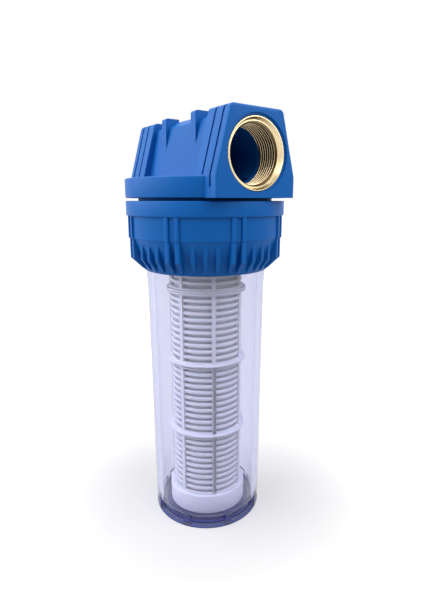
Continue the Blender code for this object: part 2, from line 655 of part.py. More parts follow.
def socket_outline(face, inward, length):
    """Outline of a cartridge end: a disc with its bore, gasket seat and cage socket."""
    seat = GASKET_BORE + GASKET_WIDTH + CLEAR
    seat_depth = GASKET_HEIGHT + CLEAR
    core_bore = CORE_RADIUS - CORE_WALL - CLEAR
    inner = face + inward * length
    step = inner + inward * END_SOCKET_DEPTH
    outline = [(END_BORE_RADIUS, face + inward * seat_depth), (seat, face + inward * seat_depth),
               (seat, face), (CAGE_RING_RADIUS, face), (CAGE_RING_RADIUS, inner),
               (core_bore, inner), (core_bore, step), (core_bore - CORE_WALL, step),
               (core_bore - CORE_WALL, inner), (END_BORE_RADIUS, inner)]
    return outline


def make_cartridge_ends(finish):
    lower = socket_outline(CARTRIDGE_BOTTOM, 1, LOWER_END_HEIGHT)
    upper = socket_outline(CARTRIDGE_TOP, -1, UPPER_END_HEIGHT)
    add_object("cage_end_lower", turned_shape(lower, SMALL_STEPS), finish)
    add_object("cage_end_upper", turned_shape(upper, SMALL_STEPS), finish)


def make_gaskets(finish):
    for name, bottom in (("lower_gasket", CARTRIDGE_BOTTOM),
                         ("upper_gasket", CARTRIDGE_TOP - GASKET_HEIGHT)):
        top = bottom + GASKET_HEIGHT
        outer = GASKET_BORE + GASKET_WIDTH
        outline = [(GASKET_BORE, bottom), (outer, bottom), (outer, top), (GASKET_BORE, top)]
        add_object(name, turned_shape(outline, SMALL_STEPS), finish)


def make_sleeves(mesh_finish, core_finish):
    """The woven sleeve behind the slats, and the pierced tube that backs it."""
    for name, radius, wall, finish in (("filter_mesh", MESH_RADIUS, MESH_WALL, mesh_finish),
                                       ("core_tube", CORE_RADIUS, CORE_WALL, core_finish)):
        outline = [(radius - wall, CAGE_BOTTOM), (radius, CAGE_BOTTOM),
                   (radius, CAGE_TOP), (radius - wall, CAGE_TOP)]
        sleeve = add_object(name, turned_shape(outline, SMALL_STEPS), finish)
        if name == "core_tube":
            cut_from(sleeve, core_holes())


def core_holes():
    """Rows of square ways through the core tube's wall."""
    pitch = (CAGE_TOP - CAGE_BOTTOM) / CORE_HOLE_ROWS
    outer = CORE_RADIUS + LAP
    shapes = []
    for row in range(CORE_HOLE_ROWS):
        middle = CAGE_BOTTOM + (row + 0.5) * pitch
        low = middle - CORE_HOLE_WIDTH / 2
        high = middle + CORE_HOLE_WIDTH / 2
        outline = [(CORE_RADIUS / 2, low), (outer, low), (outer, high), (CORE_RADIUS / 2, high)]
        for index in range(CORE_HOLES_ROUND):
            angle = 2 * math.pi * index / CORE_HOLES_ROUND
            shapes.append(radial_rib(outline, CORE_HOLE_WIDTH, angle))
    return merged(shapes)


def main():
    clear_scene()
    blue = material("blue_plastic", (0.03, 0.14, 0.45), 0.45)
    brass = material("brass", (0.80, 0.58, 0.25), 0.30, metallic=1.0)
    clear = material("clear_plastic", (0.80, 0.82, 0.95), 0.08, alpha=0.35)
    white = material("white_plastic", (0.85, 0.85, 0.90), 0.50)
    screen = material("woven_screen", (0.35, 0.36, 0.40), 0.70)
    rubber = material("black_rubber", (0.02, 0.02, 0.02), 0.80)
    make_head(blue)
    make_insert("inlet_thread_insert", 1, brass)
    make_insert("outlet_thread_insert", -1, brass)
    make_ring_nut(blue)
    make_bowl(clear)
    make_bowl_seal(rubber)
    make_cage(white)
    make_cartridge_ends(white)
    make_gaskets(rubber)
    make_sleeves(screen, white)


main()
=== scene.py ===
# Ten inch water filter housing: blue head and ring nut, brass ports, clear bowl, slotted cage cartridge
import math

import bmesh
import bpy
from mathutils import Matrix, Vector


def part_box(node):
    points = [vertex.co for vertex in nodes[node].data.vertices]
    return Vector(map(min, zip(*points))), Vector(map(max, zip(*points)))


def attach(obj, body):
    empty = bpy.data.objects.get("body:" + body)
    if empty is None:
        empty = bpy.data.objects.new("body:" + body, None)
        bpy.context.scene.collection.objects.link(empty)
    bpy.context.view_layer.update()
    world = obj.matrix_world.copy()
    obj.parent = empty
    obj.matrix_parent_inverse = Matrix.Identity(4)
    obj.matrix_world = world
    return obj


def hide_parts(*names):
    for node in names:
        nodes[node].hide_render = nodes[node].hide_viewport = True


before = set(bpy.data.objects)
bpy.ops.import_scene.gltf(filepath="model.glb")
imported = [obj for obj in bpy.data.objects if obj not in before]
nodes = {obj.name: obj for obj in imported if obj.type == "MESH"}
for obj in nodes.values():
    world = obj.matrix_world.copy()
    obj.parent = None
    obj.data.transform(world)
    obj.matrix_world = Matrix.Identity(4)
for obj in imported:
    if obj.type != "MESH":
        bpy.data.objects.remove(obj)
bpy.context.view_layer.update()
mm = 0.001
fullTurn = 2 * math.pi

# Heights and radii that come from the frame
headLow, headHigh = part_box("head")
nutLow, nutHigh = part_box("ring_nut")
bowlLow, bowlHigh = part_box("bowl")
sealLow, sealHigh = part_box("bowl_seal")
insertLow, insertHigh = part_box("inlet_thread_insert")
sleeveLow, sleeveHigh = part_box("filter_mesh")
lowerEndLow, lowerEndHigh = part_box("cage_end_lower")
upperEndLow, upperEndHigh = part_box("cage_end_upper")
portAxis = (insertLow.z + insertHigh.z) / 2
portFace = headHigh.x
patternAngle = math.radians(-34)
patternCount = 8


# Shape helpers

def closeUp(shape):
    bmesh.ops.remove_doubles(shape, verts=shape.verts, dist=1e-7)
    bmesh.ops.dissolve_degenerate(shape, edges=shape.edges, dist=1e-7)
    bmesh.ops.recalc_face_normals(shape, faces=shape.faces)
    return shape


def roundCorners(shape, corners, size, segments):
    bmesh.ops.bevel(shape, geom=corners, offset=size, affect="VERTICES",
                    segments=segments, profile=0.5, material=-1)


def flatShape(outline, plane, segments=3):
    # A flat face of (across, height, corner size) points, in the XZ or the YZ plane
    shape = bmesh.new()
    corners = []
    for across, height, size in outline:
        place = (across, 0, height) if plane == "XZ" else (0, across, height)
        corners.append((shape.verts.new(place), size))
    shape.faces.new([corner for corner, size in corners])
    for wanted in sorted({size for corner, size in corners if size > 0}):
        rounded = [corner for corner, size in corners if size == wanted]
        roundCorners(shape, rounded, wanted, segments)
    return shape


def turnedShape(outline, steps, segments=3):
    # Round the outline's corners, then spin it about Z
    shape = flatShape(outline, "XZ", segments)
    bmesh.ops.delete(shape, geom=list(shape.faces), context="FACES_ONLY")
    onAxis = [edge for edge in shape.edges if all(abs(end.co.x) < 1e-9 for end in edge.verts)]
    bmesh.ops.delete(shape, geom=onAxis, context="EDGES")
    bmesh.ops.spin(shape, geom=list(shape.verts) + list(shape.edges), cent=(0, 0, 0),
                   axis=(0, 0, 1), angle=fullTurn, steps=steps, use_merge=True)
    return closeUp(shape)


def prismShape(outline, start, end, segments=3):
    # Extrude a rounded (y, z) outline along X
    shape = flatShape(outline, "YZ", segments)
    bmesh.ops.translate(shape, verts=shape.verts, vec=(start, 0, 0))
    grown = bmesh.ops.extrude_face_region(shape, geom=list(shape.faces))
    moved = [part for part in grown["geom"] if isinstance(part, bmesh.types.BMVert)]
    bmesh.ops.translate(shape, verts=moved, vec=(end - start, 0, 0))
    return closeUp(shape)


def rodShape(radius, start, end, steps=64):
    # A plain rod about Z between two heights
    shape = bmesh.new()
    bmesh.ops.create_cone(shape, cap_ends=True, segments=steps, radius1=radius,
                          radius2=radius, depth=abs(end - start))
    bmesh.ops.translate(shape, verts=shape.verts, vec=(0, 0, (start + end) / 2))
    return shape


def turnShape(shape, angle):
    bmesh.ops.rotate(shape, verts=shape.verts, cent=(0, 0, 0), matrix=Matrix.Rotation(angle, 3, "Z"))
    return shape


def layAlongX(shape, height):
    turn = Matrix.Translation((0, 0, height)) @ Matrix.Rotation(math.pi / 2, 4, "Y")
    bmesh.ops.transform(shape, matrix=turn, verts=shape.verts)
    return shape


def radialRib(outline, width, angle, segments=3):
    return turnShape(prismShape(outline, -width / 2, width / 2, segments), angle - math.pi / 2)


def gathered(shapes):
    whole = bmesh.new()
    for shape in shapes:
        mesh = bpy.data.meshes.new("part")
        shape.to_mesh(mesh)
        shape.free()
        whole.from_mesh(mesh)
        bpy.data.meshes.remove(mesh)
    return whole


def newObject(name, shape):
    mesh = bpy.data.meshes.new(name)
    shape.to_mesh(mesh)
    shape.free()
    item = bpy.data.objects.new(name, mesh)
    bpy.context.scene.collection.objects.link(item)
    return item


def combine(item, shape, operation):
    # Boolean item with a shape, then merge the faces that lie in one plane
    tool = newObject("tool", shape) if isinstance(shape, bmesh.types.BMesh) else shape
    modifier = item.modifiers.new("combine", "BOOLEAN")
    modifier.object = tool
    modifier.operation = operation
    modifier.solver = "EXACT"
    view = bpy.context.evaluated_depsgraph_get()
    result = bpy.data.meshes.new_from_object(item.evaluated_get(view))
    item.modifiers.clear()
    item.data = result
    bpy.data.objects.remove(tool, do_unlink=True)
    tidy = bmesh.new()
    tidy.from_mesh(result)
    bmesh.ops.remove_doubles(tidy, verts=tidy.verts, dist=1e-7)
    bmesh.ops.dissolve_limit(tidy, angle_limit=math.radians(0.02), verts=tidy.verts, edges=tidy.edges)
    bmesh.ops.dissolve_degenerate(tidy, edges=tidy.edges, dist=1e-5)
    tidy.to_mesh(result)
    tidy.free()


def softenEdges(item, width, angle=32, segments=2):
    modifier = item.modifiers.new("edges", "BEVEL")
    modifier.width = width
    modifier.segments = segments
    modifier.limit_method = "ANGLE"
    modifier.angle_limit = math.radians(angle)
    modifier.use_clamp_overlap = True
    modifier.harden_normals = False


def shadeRound(item, angle=35):
    item.data.shade_smooth()
    item.data.set_sharp_from_angle(angle=math.radians(angle))


def finishPiece(item, finish, body, slot, *replaced):
    item.data.materials.clear()
    item.data.materials.append(finish)
    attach(item, body)
    if replaced:
        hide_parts(*replaced)
    print("made", item.name)
    return item


# Shader helpers

def addNode(tree, kind, **values):
    node = tree.nodes.new(kind)
    for name, value in values.items():
        setattr(node, name, value)
    return node


def link(tree, source, target):
    tree.links.new(source, target)


def math2(tree, operation, first, second=None):
    node = addNode(tree, "ShaderNodeMath", operation=operation)
    for socket, value in zip(node.inputs, (first, second)):
        if value is None:
            continue
        if isinstance(value, (int, float)):
            socket.default_value = value
        else:
            link(tree, value, socket)
    return node.outputs[0]


def newGroup(name, inputs, outputs):
    group = bpy.data.node_groups.new(name, "ShaderNodeTree")
    for label, kind, value in inputs:
        socket = group.interface.new_socket(label, in_out="INPUT", socket_type=kind)
        socket.default_value = value
    for label, kind in outputs:
        group.interface.new_socket(label, in_out="OUTPUT", socket_type=kind)
    start = addNode(group, "NodeGroupInput")
    end = addNode(group, "NodeGroupOutput")
    return group, start, end


def mouldedGroup():
    # Moulded plastic: slow drift of tone and roughness, and fine grain
    group, start, end = newGroup(
        "mouldedPlastic",
        [("Colour", "NodeSocketColor", (0.5, 0.5, 0.5, 1)), ("Drift", "NodeSocketFloat", 0.06),
         ("Grain size", "NodeSocketFloat", 2500), ("Roughness", "NodeSocketFloat", 0.4),
         ("Roughness drift", "NodeSocketFloat", 0.08)],
        [("Colour", "NodeSocketColor"), ("Roughness", "NodeSocketFloat"), ("Height", "NodeSocketFloat")])
    place = addNode(group, "ShaderNodeTexCoord").outputs["Object"]
    slow = addNode(group, "ShaderNodeTexNoise")
    slow.inputs["Scale"].default_value = 28
    slow.inputs["Detail"].default_value = 3
    link(group, place, slow.inputs["Vector"])
    fine = addNode(group, "ShaderNodeTexNoise")
    fine.inputs["Detail"].default_value = 2
    link(group, place, fine.inputs["Vector"])
    link(group, start.outputs["Grain size"], fine.inputs["Scale"])
    centred = math2(group, "SUBTRACT", slow.outputs["Fac"], 0.5)
    shade = math2(group, "ADD", math2(group, "MULTIPLY", centred, start.outputs["Drift"]), 1)
    scaled = addNode(group, "ShaderNodeVectorMath", operation="SCALE")
    link(group, start.outputs["Colour"], scaled.inputs[0])
    link(group, shade, scaled.inputs["Scale"])
    link(group, scaled.outputs[0], end.inputs["Colour"])
    rough = math2(group, "MULTIPLY", centred, start.outputs["Roughness drift"])
    link(group, math2(group, "ADD", rough, start.outputs["Roughness"]), end.inputs["Roughness"])
    link(group, fine.outputs["Fac"], end.inputs["Height"])
    return group


def principled(name, **values):
    finish = bpy.data.materials.new(name)
    finish.use_nodes = True
    shader = finish.node_tree.nodes["Principled BSDF"]
    for label, value in values.items():
        shader.inputs[label.replace("_", " ")].default_value = value
    return finish, finish.node_tree, shader


def addBump(tree, shader, height, strength, distance):
    bump = addNode(tree, "ShaderNodeBump")
    bump.inputs["Strength"].default_value = strength
    bump.inputs["Distance"].default_value = distance
    link(tree, height, bump.inputs["Height"])
    link(tree, bump.outputs["Normal"], shader.inputs["Normal"])


def fadeBetween(tree, distance, reach):
    # 0 before the reach, 1 after it and a smooth rise between
    fade = addNode(tree, "ShaderNodeMapRange", interpolation_type="SMOOTHSTEP")
    fade.inputs["From Min"].default_value, fade.inputs["From Max"].default_value = reach
    link(tree, distance, fade.inputs["Value"])
    return fade


def blendColour(tree, amount, first, second):
    mix = addNode(tree, "ShaderNodeMix", data_type="RGBA")
    link(tree, amount, mix.inputs["Factor"])
    for socket, colour in ((mix.inputs[6], first), (mix.inputs[7], second)):
        if isinstance(colour, tuple):
            socket.default_value = (*colour, 1)
        else:
            link(tree, colour, socket)
    return mix.outputs[2]


moulded = mouldedGroup()


def placeMoulded(tree, shader, colour, drift, grain, roughness, roughnessDrift):
    node = addNode(tree, "ShaderNodeGroup", node_tree=moulded)
    node.inputs["Colour"].default_value = (*colour, 1)
    node.inputs["Drift"].default_value = drift
    node.inputs["Grain size"].default_value = grain
    node.inputs["Roughness"].default_value = roughness
    node.inputs["Roughness drift"].default_value = roughnessDrift
    link(tree, node.outputs["Colour"], shader.inputs["Base Color"])
    link(tree, node.outputs["Roughness"], shader.inputs["Roughness"])
    return node


# Materials

bluePlastic = {"colour": (0.004, 0.108, 0.400), "roughness": 0.42, "gloss": 0.13, "grain": 2600,
               "grainDepth": 0.00004}
whitePlastic = {"colour": (0.72, 0.72, 0.72), "roughness": 0.45, "grain": 2200, "grainDepth": 0.00003}
# The brass root colour is painted shade in the thread grooves
brassFinish = {"colour": (0.80, 0.66, 0.41), "root": (0.05, 0.025, 0.010), "roughness": 0.26,
               "lathePitch": 0.0006, "rootShadeReach": (0.0195, 0.0198), "leadReach": (0.0574, 0.0592)}
# The foot colour is painted shade that tints the bowl's foot navy
clearPlastic = {"colour": (0.925, 0.93, 0.945), "foot": (0.58, 0.62, 0.84), "footShadeReach": (0.0095, 0.0110),
                # The under colour is painted shade for the bowl's underside
                "under": (0.080, 0.098, 0.225), "underReach": (0.0019, 0.0023),
                "edge": (0.66, 0.68, 0.78), "edgeReach": (0.55, 0.92),
                "roughness": 0.02, "index": 1.50, "tint": (0.80, 0.81, 0.966), "density": 130.0}
# The hole colour is painted shade in the gaps of the weave
screenFinish = {"colour": (0.56, 0.57, 0.61), "hole": (0.28, 0.28, 0.31), "pitch": 0.0007}
rubberFinish = {"colour": (0.018, 0.018, 0.020), "roughness": 0.62}


def makeBlue():
    finish, tree, shader = principled("blue moulded plastic", Specular_IOR_Level=bluePlastic["gloss"])
    node = placeMoulded(tree, shader, bluePlastic["colour"], 0.10, bluePlastic["grain"],
                        bluePlastic["roughness"], 0.10)
    addBump(tree, shader, node.outputs["Height"], 0.35, bluePlastic["grainDepth"])
    return finish


def makeWhite():
    finish, tree, shader = principled("white moulded plastic", Subsurface_Weight=0.15,
                                      Subsurface_Scale=0.002)
    node = placeMoulded(tree, shader, whitePlastic["colour"], 0.05, whitePlastic["grain"],
                        whitePlastic["roughness"], 0.08)
    addBump(tree, shader, node.outputs["Height"], 0.3, whitePlastic["grainDepth"])
    return finish


def makeRubber():
    finish, tree, shader = principled("seal rubber")
    node = placeMoulded(tree, shader, rubberFinish["colour"], 0.30, 1800,
                        rubberFinish["roughness"], 0.15)
    addBump(tree, shader, node.outputs["Height"], 0.4, 0.00005)
    return finish


def makeBrass():
    finish, tree, shader = principled("turned brass", Metallic=1.0)
    node = placeMoulded(tree, shader, brassFinish["colour"], 0.22, 900, brassFinish["roughness"], 0.16)
    place = addNode(tree, "ShaderNodeTexCoord").outputs["Object"]
    parts = addNode(tree, "ShaderNodeSeparateXYZ")
    link(tree, place, parts.inputs[0])
    across = parts.outputs["Y"]
    rise = math2(tree, "SUBTRACT", parts.outputs["Z"], portAxis)
    radius = math2(tree, "SQRT", math2(tree, "ADD", math2(tree, "MULTIPLY", across, across),
                                       math2(tree, "MULTIPLY", rise, rise)))
    # Painted shade darkens the thread roots to a dark brown; crests and the mouth keep the bright brass
    # colour
    outward = math2(tree, "ABSOLUTE", parts.outputs["X"])
    paintedRootShade = fadeBetween(tree, radius, brassFinish["rootShadeReach"]).outputs["Result"]
    mouth = fadeBetween(tree, outward, brassFinish["leadReach"]).outputs["Result"]
    root = math2(tree, "MULTIPLY", paintedRootShade, math2(tree, "SUBTRACT", 1, mouth))
    link(tree, blendColour(tree, root, node.outputs["Colour"], brassFinish["root"]),
         shader.inputs["Base Color"])
    along = math2(tree, "ADD", radius, outward)
    rings = math2(tree, "SINE", math2(tree, "MULTIPLY", along, fullTurn / brassFinish["lathePitch"]))
    height = math2(tree, "ADD", math2(tree, "MULTIPLY", rings, 0.5), node.outputs["Height"])
    addBump(tree, shader, height, 0.25, 0.00003)
    return finish


def makeClear():
    # Clear plastic that lets lamps through and is lavender in its thickness, with painted shade that makes
    # its foot navy and its underside dark blue
    finish, tree, shader = principled("clear moulded plastic", Transmission_Weight=1.0,
                                      Roughness=clearPlastic["roughness"], IOR=clearPlastic["index"])
    place = addNode(tree, "ShaderNodeTexCoord").outputs["Object"]
    parts = addNode(tree, "ShaderNodeSeparateXYZ")
    link(tree, place, parts.inputs[0])
    # Painted shade: below the wall the foot takes the navy foot colour
    wall = fadeBetween(tree, parts.outputs["Z"], clearPlastic["footShadeReach"]).outputs["Result"]
    facing = addNode(tree, "ShaderNodeLayerWeight").outputs["Facing"]
    edge = fadeBetween(tree, facing, clearPlastic["edgeReach"]).outputs["Result"]
    wallColour = blendColour(tree, edge, clearPlastic["colour"], clearPlastic["edge"])
    link(tree, blendColour(tree, wall, clearPlastic["foot"], wallColour), shader.inputs["Base Color"])
    output = tree.nodes["Material Output"]
    through = addNode(tree, "ShaderNodeBsdfTransparent")
    through.inputs["Color"].default_value = (0.94, 0.94, 0.99, 1)
    path = addNode(tree, "ShaderNodeLightPath")
    # Painted shade: the underside is an opaque dark blue, closed to the eye, in place of the shade seen under
    # the foot
    under = addNode(tree, "ShaderNodeBsdfDiffuse")
    under.inputs["Color"].default_value = (*clearPlastic["under"], 1)
    above = fadeBetween(tree, parts.outputs["Z"], clearPlastic["underReach"]).outputs["Result"]
    body = addNode(tree, "ShaderNodeMixShader")
    link(tree, above, body.inputs[0])
    link(tree, under.outputs[0], body.inputs[1])
    link(tree, shader.outputs[0], body.inputs[2])
    mix = addNode(tree, "ShaderNodeMixShader")
    link(tree, path.outputs["Is Shadow Ray"], mix.inputs[0])
    link(tree, body.outputs[0], mix.inputs[1])
    link(tree, through.outputs[0], mix.inputs[2])
    link(tree, mix.outputs[0], output.inputs["Surface"])
    tint = addNode(tree, "ShaderNodeVolumeAbsorption")
    tint.inputs["Color"].default_value = (*clearPlastic["tint"], 1)
    tint.inputs["Density"].default_value = clearPlastic["density"]
    link(tree, tint.outputs[0], output.inputs["Volume"])
    return finish


def makeScreen():
    # Plain weave: threads run round the sleeve and along it, with the gaps between them painted dark as shade
    # seen through the screen
    finish, tree, shader = principled("woven screen", Roughness=0.62)
    place = addNode(tree, "ShaderNodeTexCoord").outputs["Object"]
    parts = addNode(tree, "ShaderNodeSeparateXYZ")
    link(tree, place, parts.inputs[0])
    angle = math2(tree, "ARCTAN2", parts.outputs["Y"], parts.outputs["X"])
    threads = round(fullTurn * sleeveHigh.x / screenFinish["pitch"])
    round1 = math2(tree, "SINE", math2(tree, "MULTIPLY", angle, threads))
    along = math2(tree, "SINE", math2(tree, "MULTIPLY", parts.outputs["Z"],
                                      fullTurn / screenFinish["pitch"]))
    weave = math2(tree, "MAXIMUM", math2(tree, "ABSOLUTE", round1), math2(tree, "ABSOLUTE", along))
    ramp = addNode(tree, "ShaderNodeValToRGB")
    ramp.color_ramp.elements[0].position = 0.35
    ramp.color_ramp.elements[0].color = (*screenFinish["hole"], 1)
    ramp.color_ramp.elements[1].position = 0.75
    ramp.color_ramp.elements[1].color = (*screenFinish["colour"], 1)
    link(tree, weave, ramp.inputs[0])
    link(tree, ramp.outputs[0], shader.inputs["Base Color"])
    addBump(tree, shader, weave, 0.6, 0.0001)
    return finish


blue = makeBlue()
white = makeWhite()
brass = makeBrass()
clear = makeClear()
screen = makeScreen()
rubber = makeRubber()
print("materials ready")


# Head

flange = {"radius": nutHigh.x, "height": 14 * mm, "edge": 1.0 * mm, "steps": 144}
spigot = {"radius": 51.5 * mm, "bore": 44 * mm, "roof": 1.0 * mm, "seatRadius": 17 * mm,
          "seatHeight": 5.6 * mm}
block = {"halfWidth": 34 * mm, "topHalfWidth": 22 * mm, "height": 44 * mm, "length": 24 * mm,
         "corner": 2.6 * mm, "faceEdge": 2.0 * mm}
middle = {"lowHalfWidth": 28.5 * mm, "topHalfWidth": 20.2 * mm, "vaultRadius": 31 * mm,
          "vaultFacets": 24}
boss = {"offset": 20.7 * mm, "thickness": 6 * mm, "halfWidth": 23.5 * mm, "height": 45 * mm,
        "foot": 15 * mm, "corner": 2.2 * mm, "hole": 1.6 * mm, "holeDepth": 12 * mm}
grooves = {"width": 1.8 * mm, "depth": 2 * mm, "insets": (7 * mm, 16 * mm), "drop": 8 * mm}
port = {"recess": 25.6 * mm, "passage": 18.5 * mm, "well": 12 * mm, "wellWall": 4 * mm,
        "slotHalfWidth": 12 * mm, "slotEnd": 38 * mm}
flangeBottom = nutHigh.z + 2 * mm
flangeTop = flangeBottom + flange["height"]
blockTop = flangeTop + block["height"]
insertFace = insertHigh.x
insertBack = insertLow.x
insertRadius = (insertHigh.z - insertLow.z) / 2
lap = 1 * mm
gap = 0.3 * mm


def sideLean():
    return (block["halfWidth"] - block["topHalfWidth"]) / block["height"]


def sideAt(height):
    return block["halfWidth"] - sideLean() * max(0.0, height - flangeTop)


def mirrored(half):
    return half + [(-across, height, size) for across, height, size in reversed(half)]


def middleShape():
    # Sunk side panels under a round vault
    edge = math.acos(middle["topHalfWidth"] / middle["vaultRadius"])
    count = middle["vaultFacets"]
    outline = [(middle["lowHalfWidth"], flangeTop - lap, 0)]
    for index in range(count + 1):
        angle = edge + (math.pi - 2 * edge) * index / count
        outline.append((middle["vaultRadius"] * math.cos(angle),
                        portAxis + middle["vaultRadius"] * math.sin(angle), 0))
    outline.append((-middle["lowHalfWidth"], flangeTop - lap, 0))
    end = portFace - block["length"]
    return prismShape(outline, -end, end)


def blockShape(side):
    half = [(block["halfWidth"], flangeBottom, 0), (block["halfWidth"], flangeTop, 0),
            (block["topHalfWidth"], blockTop, block["corner"])]
    shape = prismShape(mirrored(half), side * (portFace - block["length"] - lap), side * portFace, 6)
    rim = [edge for edge in shape.edges
           if all(abs(abs(end.co.x) - portFace) < 1e-6 for end in edge.verts)
           and any(end.co.z > flangeBottom + lap for end in edge.verts)]
    bmesh.ops.bevel(shape, geom=rim, offset=block["faceEdge"], affect="EDGES", segments=5,
                    profile=0.5, material=-1)
    return closeUp(shape)


def bossShape(side, face):
    foot = flangeTop + boss["foot"]
    top = flangeTop + boss["height"]
    root = boss["halfWidth"] / 2
    outline = [(face * root, foot, 0), (face * boss["halfWidth"], foot, 0),
               (face * boss["halfWidth"], top, boss["corner"]), (face * root, top, 0)]
    centre = side * boss["offset"]
    return prismShape(outline, centre - boss["thickness"] / 2, centre + boss["thickness"] / 2, 5)


def grooveShape(side, face, inset, foot):
    # A thin cutter that follows the block's leaning side
    depth = grooves["depth"]
    over = blockTop + lap
    inner = [(sideAt(foot + depth) - depth, foot + depth), (sideAt(over) - depth, over)]
    outer = [(sideAt(over) + lap, over), (sideAt(foot) + lap, foot)]
    if foot < flangeTop:
        inner.insert(1, (sideAt(flangeTop) - depth, flangeTop))
        outer.insert(1, (sideAt(flangeTop) + lap, flangeTop))
    outline = [(face * across, height, 0) for across, height in inner + outer]
    centre = side * (portFace - inset)
    return prismShape(outline, centre - grooves["width"] / 2, centre + grooves["width"] / 2)


def portRod(side, radius, start, end, steps=96):
    return layAlongX(rodShape(radius, side * start, side * end, steps), portAxis)


def inletWay():
    way = newObject("inletWay", portRod(1, port["passage"], port["well"] / 4, insertBack + lap))
    roof = flangeBottom + spigot["roof"]
    slot = [(-port["slotHalfWidth"], roof - lap, 0), (port["slotHalfWidth"], roof - lap, 0),
            (port["slotHalfWidth"], portAxis - lap, 0), (-port["slotHalfWidth"], portAxis - lap, 0)]
    combine(way, prismShape(slot, port["well"] / 2, port["slotEnd"]), "UNION")
    combine(way, rodShape(port["well"] + port["wellWall"], roof - 2 * lap, blockTop), "DIFFERENCE")
    return way


def turnedHead():
    seat = flangeBottom + spigot["roof"] - spigot["seatHeight"]
    roof = flangeBottom + spigot["roof"]
    edge = flange["edge"]
    outline = [(0, seat, 0), (spigot["seatRadius"], seat, 0.5 * mm), (spigot["seatRadius"], roof, 1 * mm),
               (spigot["bore"], roof, 2 * mm), (spigot["bore"], headLow.z, 0.6 * mm),
               (spigot["radius"], headLow.z, 1.2 * mm), (spigot["radius"], flangeBottom, 0.5 * mm),
               (flange["radius"], flangeBottom, edge), (flange["radius"], flangeTop, edge),
               (0, flangeTop, 0)]
    return turnedShape(outline, flange["steps"])


def makeHead():
    head = newObject("headMoulding", turnedHead())
    combine(head, middleShape(), "UNION")
    for side in (-1, 1):
        combine(head, blockShape(side), "UNION")
        for face in (-1, 1):
            combine(head, bossShape(side, face), "UNION")
    cutters = []
    for side in (-1, 1):
        for face in (-1, 1):
            for inset, foot in zip(grooves["insets"], (flangeTop - grooves["drop"], flangeTop)):
                cutters.append(grooveShape(side, face, inset, foot))
            top = flangeTop + boss["height"]
            hole = rodShape(boss["hole"], top - boss["holeDepth"], top + lap, 24)
            across = face * (boss["halfWidth"] - boss["thickness"])
            bmesh.ops.translate(hole, verts=hole.verts, vec=(side * boss["offset"], across, 0))
            cutters.append(hole)
    combine(head, gathered(cutters), "DIFFERENCE")
    for side in (-1, 1):
        combine(head, portRod(side, port["recess"], insertFace, portFace + lap), "DIFFERENCE")
        combine(head, portRod(side, insertRadius + gap, insertBack - gap, portFace + lap), "DIFFERENCE")
    combine(head, inletWay(), "DIFFERENCE")
    combine(head, portRod(-1, port["passage"], port["well"] / 2, insertBack + lap), "DIFFERENCE")
    well = rodShape(port["well"], flangeBottom - spigot["seatHeight"] - lap, portAxis)
    combine(head, well, "DIFFERENCE")
    shadeRound(head)
    softenEdges(head, 0.35 * mm)
    return finishPiece(head, blue, "head", "blue_plastic", "head")


makeHead()


# Thread on the head's spigot, seen once the nut is undone

spigotThread = {"pitch": 6 * mm, "depth": 0.55 * mm, "width": 3.0 * mm, "crest": 1.2 * mm, "steps": 120}


def makeSpigotThread():
    root = spigot["radius"] - 0.15 * mm
    crest = spigot["radius"] + spigotThread["depth"]
    half = spigotThread["width"] / 2
    flat = spigotThread["crest"] / 2
    start = headLow.z + half + 0.5 * mm
    turns = (flangeBottom - start - half - 1 * mm) / spigotThread["pitch"]
    shape = flatShape([(root, start - half, 0), (crest, start - flat, 0), (crest, start + flat, 0),
                       (root, start + half, 0)], "XZ")
    count = round(turns * spigotThread["steps"])
    bmesh.ops.spin(shape, geom=list(shape.faces), cent=(0, 0, 0), axis=(0, 0, 1),
                   angle=fullTurn * turns, steps=count,
                   dvec=(0, 0, turns * spigotThread["pitch"] / count))
    closeUp(shape)
    thread = newObject("spigotThread", shape)
    shadeRound(thread, 25)
    return finishPiece(thread, blue, "head", "blue_plastic")


makeSpigotThread()


# Brass inserts with a G 1 1/4 female thread

insert = {"mouthDepth": 2.4 * mm, "land": 0.9 * mm, "rimEdge": 0.3 * mm, "shoulder": 0.6 * mm,
          "lead": 2.4 * mm, "steps": 96}
pipeThread = {"major": 20.95 * mm, "minor": 19.5 * mm, "pitch": 2.309 * mm, "flat": 0.35 * mm}


def threadShape(start, end):
    # One pitch of V teeth, repeated along the bore and spun by one pitch, then cut off square
    pitch = pipeThread["pitch"]
    major = pipeThread["major"]
    minor = pipeThread["minor"]
    flat = pipeThread["flat"]
    teeth = math.ceil((end - start) / pitch) + 2
    shape = bmesh.new()
    line = []
    for tooth in range(teeth):
        low = start - 1.5 * pitch + tooth * pitch
        for radius, height in ((minor, low), (minor, low + flat), (major, low + pitch / 2),
                               (major, low + pitch / 2 + flat)):
            line.append(shape.verts.new((radius, 0, height)))
    line.append(shape.verts.new((minor, 0, start - 1.5 * pitch + teeth * pitch)))
    for first, second in zip(line, line[1:]):
        shape.edges.new((first, second))
    steps = insert["steps"]
    bmesh.ops.spin(shape, geom=list(shape.verts) + list(shape.edges), cent=(0, 0, 0), axis=(0, 0, 1),
                   angle=fullTurn, steps=steps, dvec=(0, 0, pitch / steps))
    bmesh.ops.remove_doubles(shape, verts=shape.verts, dist=1e-6)
    for height, direction in ((start, -1), (end, 1)):
        geometry = list(shape.verts) + list(shape.edges) + list(shape.faces)
        bmesh.ops.bisect_plane(shape, geom=geometry, dist=1e-7, plane_co=(0, 0, height),
                               plane_no=(0, 0, direction), clear_outer=True)
    # The first turns are cut away by a cone, so that a pipe finds its way in
    for corner in shape.verts:
        depth = min(1.0, (end - corner.co.z) / insert["lead"])
        radius = math.hypot(corner.co.x, corner.co.y)
        least = major - (major - minor) * depth
        if radius < least:
            corner.co.x *= least / radius
            corner.co.y *= least / radius
    return shape


